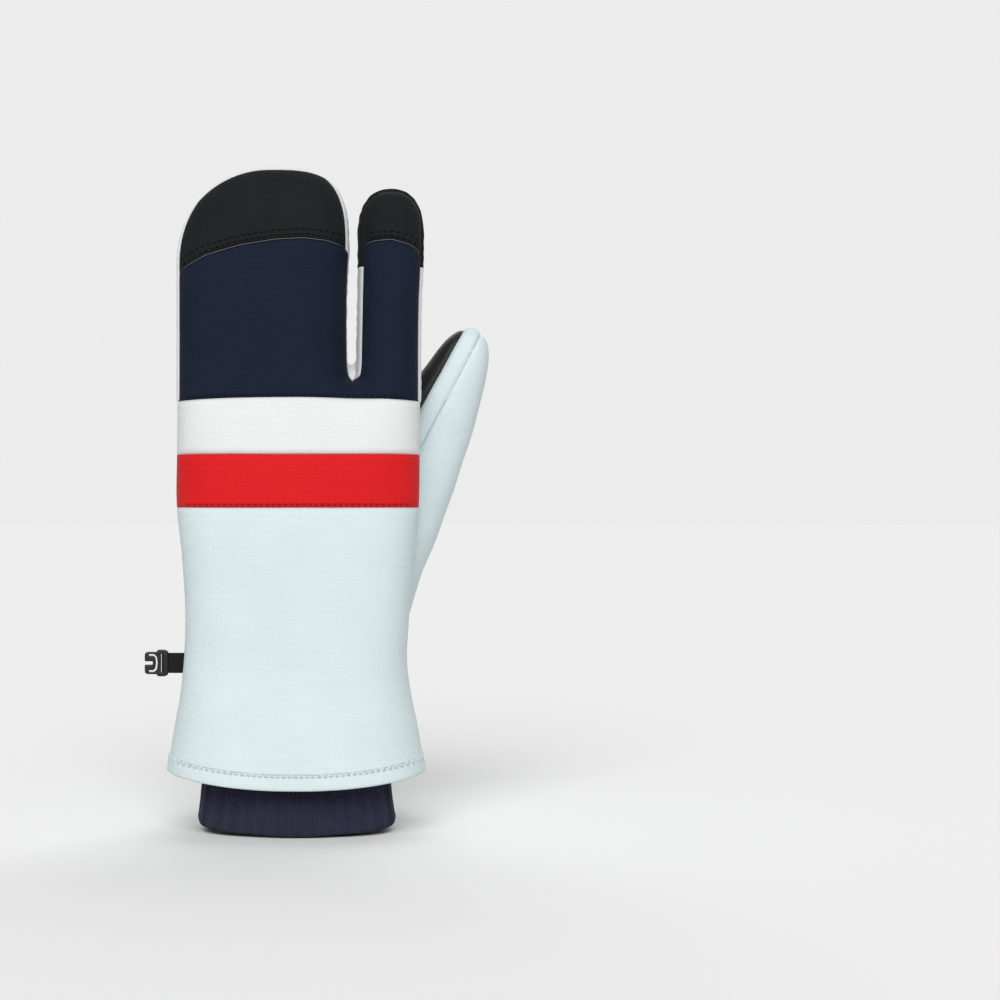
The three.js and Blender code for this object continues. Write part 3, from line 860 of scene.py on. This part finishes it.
def gusset(name, line):
    """A strip along part of a finger's outline, from its back panel round to its palm panel."""
    line = even(line, 1.0)
    count = len(line) - 1
    narrow = back_inset(line) if "index" in name else np.full((len(line), 1), BACK_INSET)
    back, palm = inset(line, narrow), inset(line, PALM_INSET)
    y_back = np.maximum(half_depth(back[:, 0], back[:, 1]), 1.2)
    y_palm = np.maximum(half_depth(palm[:, 0], palm[:, 1]), 1.6)

    def place(u, v):
        i = np.rint(u * count).astype(int)
        y = -y_back[i] * (1 - v) + y_palm[i] * v
        share = np.where(y < 0, -y / y_back[i], y / y_palm[i])
        d = np.where(y < 0, narrow[i, 0], PALM_INSET) * bow(share) / bow(1.0)
        mid = np.sin(np.pi * np.clip(v, 0, 1))
        rough = 0.14 * np.sin(i * 0.9 + 2.2 * np.sin(i * 0.23)) * mid + 0.35 * mid ** 0.5
        rough = rough - 1.7 * fade(line[i, 1], 197, 194)
        rough = rough - 0.9 * np.exp(-((np.minimum(v, 1 - v) * (y_back[i] + y_palm[i]) / 0.9) ** 2))
        p = line[i] + (d - rough)[:, None] * square_to(line)[i]
        return np.stack([p[:, 0], y, p[:, 1]], 1)

    bm, flat = grid(count, 22, place)
    along = np.gradient(line, axis=0)
    outward = np.stack([-along[:, 1], np.zeros(len(line)), along[:, 0]], 1)
    facing = sum(v.normal.dot(Vector(outward[int(round(f[0] * count))])) for v, f in zip(bm.verts, flat))
    if facing < 0:
        bmesh.ops.reverse_faces(bm, faces=bm.faces)
    return finished(name, bm)


pod_gusset = gusset("pod_gusset", part_of(pod_outline, (-56.1, 186), CROTCH))
dress(pod_gusset, gusset_fabric, "hand", "pod_gusset", "little_side_gusset", to="pod", band=KNUCKLE, fill=0.3)
index_slot_gusset = gusset("index_slot_gusset", part_of(index_outline, CROTCH, (27.1, 258)))
dress(index_slot_gusset, gusset_fabric, "hand", "index_gusset", to="index", band=KNUCKLE, fill=0.3)
index_tip_gusset = gusset("index_tip_gusset", part_of(index_outline, (27.1, 258), (56.8, 258)))
dress(index_tip_gusset, black_fabric, "index", "index_cap_gusset", fill=0.3)
index_outer_gusset = gusset("index_outer_gusset", part_of(index_outline, (56.8, 258), (55.6, 184)))
dress(index_outer_gusset, gusset_fabric, "hand", "index_outer_gusset", "index_side_gusset",
      to="index", band=KNUCKLE, fill=0.3)


def web(u, v):
    """The gusset fabric folded round the bottom of the gap between the fingers."""
    angle = np.pi * u
    bunch = 0.3 * np.sin(v * 27 + 3 * np.sin(u * 5))
    y = -8.5 + 20 * v
    r = 2.5 + bunch * 0.4
    return np.stack([24.1 - r * np.cos(angle), y, 213 + 8 * v - (5.6 + bunch) * np.sin(angle)
                     - 2.5 * np.abs(2 * v - 1) ** 5], 1)


crotch_web = finished("crotch_web", grid(18, 40, web)[0], 0.5)
dress(crotch_web, gusset_fabric, "hand", "crotch_web")

# ---------------------------------------------------------------------------------------------
# Thumb: a tube set into the palm side, leather where it faces the fingers, then a long strip
# of pale fabric over its edge and a broad pale panel outside.
THUMB_STATIONS = np.array([
    (89, 32, 46.5, 6, 12), (97, 27.5, 49.8, 9, 15), (110, 21.5, 54.0, 15, 18.2), (124, 15.6, 59.3, 20, 19.6),
    (142, 13.6, 66.6, 24, 20), (160, 16.6, 73, 27.4, 18.6), (178, 29, 78.8, 30, 16.4),
    (194, 42.6, 83.8, 30.6, 15.2), (208, 55, 86.9, 31, 14),
    (216, 61.4, 88.1, 31, 12.8), (222, 65.8, 88.1, 31, 11.4),
    (226, 69.2, 86.9, 31, 9.6), (229, 72.8, 84.7, 31, 6.9),
    (230.8, 76.2, 82.2, 31, 4), (231.4, 78.9, 79.4, 31, 0.5)])
steps = np.concatenate([[0], np.cumsum(np.abs(np.diff(THUMB_STATIONS[:, 0])) + 1.5)])
thumb_shape = [curve_through(np.stack([steps / steps[-1], THUMB_STATIONS[:, k]], 1)) for k in range(5)]
SEAM_POINT, SEAM_WAY, STRIP_WIDE = np.array([17.0, 122.0]), np.array([0.8776, -0.4794]), 8.8


def thumb_skin(u, v):
    """The thumb's surface: u goes round it and v from its base to its tip."""
    z, low, high, middle, deep = [f(v) for f in thumb_shape]
    angle = 2 * np.pi * u
    c, s = np.cos(angle), np.sin(angle)
    x = (low + high) / 2 + (high - low) / 2 * np.sign(c) * np.abs(c) ** 0.9
    x, z = x + 0.02 * np.maximum(x - 40, 0), z + 0.02 * np.maximum(z - 151, 0)
    y = middle + deep * np.sign(s) * np.abs(s) ** 0.9
    return np.stack([x, y, z], 1)


def thumb_part(name, low, high):
    """The part of the thumb between two seams, given as distances from the leather's seam."""
    bm, flat = grid(130, 120, thumb_skin)
    mapped(bm, flat * (0.13, 0.14))
    bmesh.ops.remove_doubles(bm, verts=bm.verts, dist=2e-6)
    bmesh.ops.recalc_face_normals(bm, faces=bm.faces)
    way = (SEAM_WAY[0], 0, SEAM_WAY[1])
    for seam, inner, outer in ((low, True, False), (high, False, True)):
        if seam is None:
            continue
        at = row(*(SEAM_POINT[0] + SEAM_WAY[0] * seam, 0, SEAM_POINT[1] + SEAM_WAY[1] * seam))
        for step in (0.0, 0.7, 1.4, 2.4):
            shift = step if inner else -step
            spot = tuple(a + shift * w / 1000 for a, w in zip(at, way))
            bmesh.ops.bisect_plane(bm, geom=bm.verts[:] + bm.edges[:] + bm.faces[:], dist=1e-6, plane_co=spot,
                                   plane_no=way, clear_inner=inner and not step,
                                   clear_outer=outer and not step)
    bmesh.ops.remove_doubles(bm, verts=bm.verts, dist=1.2e-4)
    bm.normal_update()
    co = in_mm(bm)
    d = (co[:, [0, 2]] - SEAM_POINT) @ SEAM_WAY
    gap = np.full(len(co), UNROLLED)
    if low is not None:
        gap = np.minimum(gap, np.abs(d - low))
    if high is not None:
        gap = np.minimum(gap, np.abs(high - d))
    out = 0.4 * (1 - np.exp(-gap / 5)) - 0.8 * np.exp(-((gap / SEAM_ROLL) ** 2))
    out = out + 0.3 * np.sin(co[:, 2] / 7 + co[:, 0] / 11 + co[:, 1] / 9) * np.sin(co[:, 2] / 19 + 1)
    pushed(bm, out)
    return finished(name, bm)


thumb_way = np.array([0.3746, 0, 0.9272])
thumb_hinge = np.array([52.0, 27.0, 172.0])
THUMB_BEND = (row(*(thumb_hinge - 19 * thumb_way)), row(*(thumb_hinge + 19 * thumb_way)))
thumb_leather = thumb_part("thumb_leather", None, 0.0)
dress(thumb_leather, black_leather, "hand", "thumb_leather", "thumb_base_leather", "thumb_wadding",
      to="thumb", band=THUMB_BEND, fill=0.5)
thumb_strip = thumb_part("thumb_strip", 0.0, STRIP_WIDE)
dress(thumb_strip, pale_fabric, "hand", "thumb_gusset", "thumb_fold", to="thumb", band=THUMB_BEND, fill=0.5)
thumb_outer = thumb_part("thumb_outer_panel", STRIP_WIDE, None)
dress(thumb_outer, pale_fabric, "hand", "thumb_outer_panel", "thumb_base_panel", "thumb_lining", to="thumb",
      band=THUMB_BEND, fill=0.5)

# ---------------------------------------------------------------------------------------------
# Knitted cuff: a tube of ribbed knit, doubled over at its bottom edge, that comes out of the
# gauntlet and grips the wrist.
KNIT_STATIONS = np.array([(0, -46, 44, 28.4), (24, -44, 42.4, 25.2), (66, -41.6, 39.8, 21.8)])
knit_shape = [curve_through(KNIT_STATIONS[:, [0, k]]) for k in (1, 2, 3)]
RIBS = 236


def knit_ring(z):
    low, high, deep = [float(f(z)) for f in knit_shape]
    angle = np.linspace(0, 2 * math.pi, 400, endpoint=False)
    c, s = np.cos(angle), np.sin(angle)
    return np.stack([(low + high) / 2 + (high - low) / 2 * np.sign(c) * np.abs(c) ** 0.87,
                     deep * np.sign(s) * np.abs(s) ** 0.87], 1)


def knitted():
    """Fine vertical ribs of loops. The map's first axis runs round the cuff."""
    material, shader, place, flat = new_material("knit_yarn", 0.92, 0.12, 0.1)
    u, v, _ = axes(flat)
    fuzz = noise(place, 1500.0)
    cloud = noise(place, 60.0, 3.0)
    rib = u.wave(0.00106) * 0.5 + 0.5
    loops = (v * (2 * math.pi / 0.0009) + rib * 2.2).maths("SINE") * 0.5 + 0.5
    tone = rib * 0.45 + loops * 0.2 + fuzz * 0.3 + cloud * 0.2 - 0.08
    tone.mix(colour(21, 23, 36), colour(55, 58, 82)).drives(shader, "Base Color")
    bump(shader, rib + loops * 0.55 + fuzz * 0.4, 0.8, 0.0004)
    return material


def knit_waves(u, v, co):
    """Ribs, five slow waves round the cuff, and a groove where its bottom edge is turned under."""
    low = np.exp(-co[:, 2] / 2.2) * (v < 0.6)
    ribs = 0.16 * np.sin(u * 2 * math.pi * RIBS) * (1 + 1.2 * low)
    return (ribs + 0.5 * np.sin(u * 2 * math.pi * 5 + co[:, 2] / 14)
            - 0.5 * np.exp(-(((co[:, 2] - 4.2) / 0.8) ** 2)) * (v < 0.5) * 0.5)


def knit_dip(x, z):
    """The cuff stands on the middle of its front and back, and its sides are a little raised."""
    return 3.0 * np.clip(np.abs(x + 1) / 45, 0, 1) ** 4 * fade(z, 18, 2)


knit = band_round("knit_cuff", knit_ring,
                  even([(38, -0.2), (30, -0.1), (20, 0.0), (12, 0.1), (5, 0.2), (2.6, 0.1), (1.3, -0.3),
                        (0.8, -1.1), (0.9, -2), (1.7, -2.9), (3, -3.2), (10, -3.3), (30, -3.3),
                        (64, -3.3)], 1.4), RIBS * 4, ripple=knit_waves, dip=knit_dip)
dress(knit, knitted(), "cuff", "knit_cuff")

# ---------------------------------------------------------------------------------------------
# Lining: a soft brushed bag inside the mitt, seen only through the cuff.


def brushed():
    material, shader, place, _ = new_material("brushed_lining", 0.95, 0.3, 0.1)
    nap, cloud = noise(place, 1300.0, 3.0), noise(place, 90.0, 3.0)
    tone = nap * 0.7 + cloud * 0.4 - 0.05
    tone.mix(colour(24, 25, 27), colour(58, 59, 63)).drives(shader, "Base Color")
    bump(shader, nap, 0.7, 0.0005)
    return material


def bag_ring(z):
    """The lining's outline at a height: a little narrower in the hand, and closed at the top."""
    k = float(fade(z, 60, 90))
    close = float(1 - fade(z, 168, 186) * 0.96)
    ring = knit_ring(min(z, 60))
    return ring * (1 - 0.1 * k) * close + np.array([-1.0 * k, 0])


lining = band_round("lining_bag", bag_ring, np.stack([np.linspace(30, 187, 62), np.full(62, -4.1)], 1), 96,
                    thickness=0.6)
dress(lining, brushed(), "cuff", "gauntlet_lining", "cuff_seam_ring", "hand_lining", to="hand", band=WRIST)

# ---------------------------------------------------------------------------------------------
# Strap and clip: doubled ribbed webbing sewn into the little-finger side, and a moulded plastic
# clip that hooks the pair of mitts together.
STRAP_LOW, STRAP_HIGH, STRAP_HALF = 71.9, 81.1, 0.8
BAR_X = -61.4


def webbing():
    material, shader, place, _ = new_material("strap_webbing", 0.8, 0.05, 0.12)
    x, _, z = axes(place)
    rib = x.wave(0.00078) * 0.5 + 0.5
    twill = (z + x * 0.6).wave(0.0011) * 0.5 + 0.5
    fuzz = noise(place, 1800.0)
    tone = rib * 0.45 + twill * 0.25 + fuzz * 0.35
    tone.mix(colour(6, 6, 6), colour(42, 42, 42)).drives(shader, "Base Color")
    bump(shader, rib + twill * 0.4 + fuzz * 0.3, 0.7, 0.0003)
    return material


def strap_place(u, v):
    """Round the flat loop of webbing: out along one face, round the clip's bar and back."""
    loop = even(np.array([(-52.6, -STRAP_HALF), (-59.6, -STRAP_HALF)]
                         + [(BAR_X + 1.9 * np.cos(a), 1.15 * np.sin(a)) for a in np.linspace(-2.2, -4.1, 14)]
                         + [(-59.6, STRAP_HALF), (-52.6, STRAP_HALF)]), 0.4)
    p = on_line(loop, u)
    z = STRAP_LOW + (STRAP_HIGH - STRAP_LOW) * v
    ripple = 0.05 * np.sin(p[:, 0] * 2 * np.pi / 0.78) + 0.03 * np.sin(z * 6)
    side = np.where(p[:, 1] < 0, -1, 1)
    return np.stack([p[:, 0], p[:, 1] + side * ripple, z], 1)


bm, _ = grid(110, 26, strap_place)
bmesh.ops.recalc_face_normals(bm, faces=bm.faces)
strap = finished("strap_webbing", bm, 0.55)
dress(strap, webbing(), "strap", "strap_webbing")


def moulded():
    material, shader, place, _ = new_material("clip_plastic", 0.42, 0.0, 0.4)
    grain, wear = noise(place, 1600.0), noise(place, 120.0, 3.0)
    (wear * 0.8 + grain * 0.2).mix(colour(9, 9, 10), colour(22, 22, 23)).drives(shader, "Base Color")
    (wear * 0.25 + 0.3).drives(shader, "Roughness")
    bump(shader, grain + wear * 0.6, 0.3, 0.00015)
    return material


def rounded(corners, radius):
    """A closed outline whose corners are rounded."""
    corners = np.asarray(corners, float)
    out = []
    for i in range(len(corners)):
        a, b, c = corners[i - 1], corners[i], corners[(i + 1) % len(corners)]
        r = radius[i]
        p, q = b + (a - b) / np.linalg.norm(a - b) * r, b + (c - b) / np.linalg.norm(c - b) * r
        for t in np.linspace(0, 1, 6):
            out.append((1 - t) ** 2 * p + 2 * t * (1 - t) * b + t * t * q)
    return np.array(out)


def plate(outline, holes, half, bevel):
    """A flat moulded plate with openings through it and softened edges."""
    bm = bmesh.new()
    edges = []
    for ring in [outline] + holes:
        front = metres(np.stack([ring[:, 0], np.full(len(ring), -half), ring[:, 1]], 1))
        verts = [bm.verts.new(tuple(p)) for p in front]
        edges += [bm.edges.new((verts[i - 1], verts[i])) for i in range(len(verts))]
    bmesh.ops.triangle_fill(bm, use_beauty=True, edges=edges)
    bmesh.ops.dissolve_limit(bm, angle_limit=0.01, verts=bm.verts, edges=bm.edges)
    out = bmesh.ops.extrude_face_region(bm, geom=bm.faces[:])["geom"]
    moved = [v for v in out if isinstance(v, bmesh.types.BMVert)]
    bmesh.ops.translate(bm, verts=moved, vec=(0, 2 * half / 1000, 0))
    bmesh.ops.recalc_face_normals(bm, faces=bm.faces)
    rims = [e for e in bm.edges if e.is_manifold and e.calc_face_angle() > 1.2]
    bmesh.ops.bevel(bm, geom=rims, offset=bevel / 1000, segments=3, profile=0.5, affect="EDGES", material=-1,
                    clamp_overlap=True)
    return bm


clip_outline = rounded([(-60.3, 71.2), (-60.3, 81.8), (-61.6, 82.6), (-64.9, 82.6), (-65.6, 81.6),
                        (-71, 81.6), (-71, 77.3), (-67.3, 77.3), (-67.3, 75.7),
                        (-71, 75.7), (-71, 71.4), (-65.6, 71.4),
                        (-64.9, 70.4), (-61.6, 70.4)],
                       [0.5, 0.5, 0.8, 0.5, 0.3, 1.7, 0.5, 0.5, 0.5, 0.5, 1.7, 0.3, 0.5, 0.8])
hook_slot = even([(-69.2, 80.2), (-67, 80.2), (-66.1, 79.7), (-65.7, 78.6), (-65.5, 76.5),
                           (-65.7, 74.4), (-66.1, 73.3), (-67, 72.8), (-69.2, 72.8)], 0.7)
hook_slot = np.concatenate([inset(hook_slot, 0.42), inset(hook_slot, -0.42)[::-1]])
bar_slot = rounded([(-63.6, 72.2), (-62.5, 72.2), (-62.5, 80.8), (-63.6, 80.8)], [0.4] * 4)
clip = finished("clip", plate(clip_outline, [hook_slot, bar_slot], 1.6, 0.35), 0)
dress(clip, moulded(), "clip", "clip")

# ---------------------------------------------------------------------------------------------
# Top-stitching: short thick stitches of sewing thread that run beside the seams, one object
# for each colour of thread on each part of the mitt.


def thread(name, tint):
    material, shader, place, _ = new_material(name, 0.7, 0.0, 0.08)
    twist = noise(place, 2600.0)
    dark = tuple(c * 0.6 for c in tint[:3]) + (1,)
    (twist * 1.4 - 0.2).mix(dark, tint).drives(shader, "Base Color")
    bump(shader, twist, 0.5, 0.0001)
    return material


def shifted(line, by):
    """A line moved up by some millimetres, square to itself."""
    return inset(even(line, 0.8), -by)


STITCH_THICK, AHEAD, ASIDE = 0.36, 0.2, 0.3


def stitches(name, rows, pitch=2.7, length=1.9, wide=0.5, lift=0.1, short=7):
    """Rows of stitches, each (line on the outline, side, height over the surface).

    A row starts and ends short half millimetres inside its line.
    """
    bm = bmesh.new()
    for line, side, over in rows:
        ends = even(even(line, 0.5)[short:-short], pitch)
        spots = (ends[1:] + ends[:-1]) / 2
        x, z = spots[:, 0], spots[:, 1]
        along = np.gradient(ends, axis=0)
        along = (along[1:] + along[:-1]) / 2
        y = half_depth(x, z)
        ahead = half_depth(x + along[:, 0] * AHEAD, z + along[:, 1] * AHEAD)
        out_x = (half_depth(x + ASIDE, z) - half_depth(x - ASIDE, z)) / (2 * ASIDE)
        out_z = (half_depth(x, z + ASIDE) - half_depth(x, z - ASIDE)) / (2 * ASIDE)
        for i in range(len(spots)):
            way = Vector((along[i, 0] * AHEAD, side * (ahead[i] - y[i]), along[i, 1] * AHEAD)).normalized()
            normal = Vector((-out_x[i], side, -out_z[i])).normalized()
            cross = normal.cross(way).normalized()
            at = Vector(row(x[i], side * y[i], z[i])) + normal * ((over + lift) / 1000)
            turned = np.eye(4)
            for column, (axis, size) in enumerate(((way, length), (cross, wide), (normal, STITCH_THICK))):
                turned[:3, column] = np.array(axis) * size / 1000
            turned[:3, 3] = np.array(at)
            made = bmesh.ops.create_uvsphere(bm, u_segments=6, v_segments=4, radius=0.5)["verts"]
            bmesh.ops.rotate(bm, verts=made, cent=(0, 0, 0), matrix=Matrix.Rotation(math.pi / 2, 3, "Y"))
            bmesh.ops.transform(bm, verts=made, matrix=Matrix([list(r) for r in turned]))
    return finished(name, dipped(bm, hem_dip), 0)


black_thread = thread("black_thread", colour(8, 8, 9))
pale_thread = thread("pale_thread", colour(196, 212, 213))
grey_thread = thread("grey_thread", colour(122, 126, 128))
knuckle_rows = knuckle_seam[2:-8]
EDGING = (1.0, 1.3, 0.34, 0.0, 2)
for name, rows, colour_used, body, sizes in (
        ("navy_stitches", [(shifted(arch_line(-54.6, 54.3), 1.1), -1, 0.1)],
         thread("navy_thread", colour(14, 17, 28)), "hand", ()),
        ("red_stitches", [(level(149.5, -54.5, 53.6), -1, 0)],
         thread("red_thread", colour(150, 14, 20)), "hand", ()),
        ("pod_stitches", [(shifted(pod_seam, 1.8), -1, 0), (shifted(pod_seam, 4.0), -1, 0.3),
                          (shifted(pod_palm_seam, 2.0), 1, 1.25), (shifted(pod_palm_seam, 4.2), 1, 1.35)],
         black_thread, "pod", ()),
        ("index_stitches", [(shifted(index_seam, 1.7), -1, 0), (shifted(index_seam, 3.8), -1, 0.3),
                            (level(260.2, 34.6, 49.2), 1, 1.3), (level(262.4, 34.6, 49.2), 1, 1.4)],
         black_thread, "index", ()),
        ("pod_cap_edging", [(pod_seam, -1, -0.25)], grey_thread, "pod", EDGING),
        ("index_cap_edging", [(index_seam, -1, -0.25)], grey_thread, "index", EDGING),
        ("palm_stitches", [(shifted(knuckle_rows, -1.9), 1, 0.55), (shifted(knuckle_rows, 2.0), 1, 0.25),
                           (level(PALM_LOW + 1.9, -52.6, 15.5), 1, 0.5),
                           (level(PALM_LOW - 1.9, -52.6, 15.5), 1, 1.3)], black_thread, "hand", ()),
        ("wrist_stitches", [(inset(even(heel_low), 1.6), 1, 0.4)], pale_thread, "hand", (2.4, 1.6, 0.42)),
        ("hem_stitches", [(level(32.6, -58.6, 55.8), side, 0.55) for side in (-1, 1)], pale_thread, "cuff",
         (2.6, 1.8))):
    dress(stitches(name, rows, *sizes), colour_used, body)
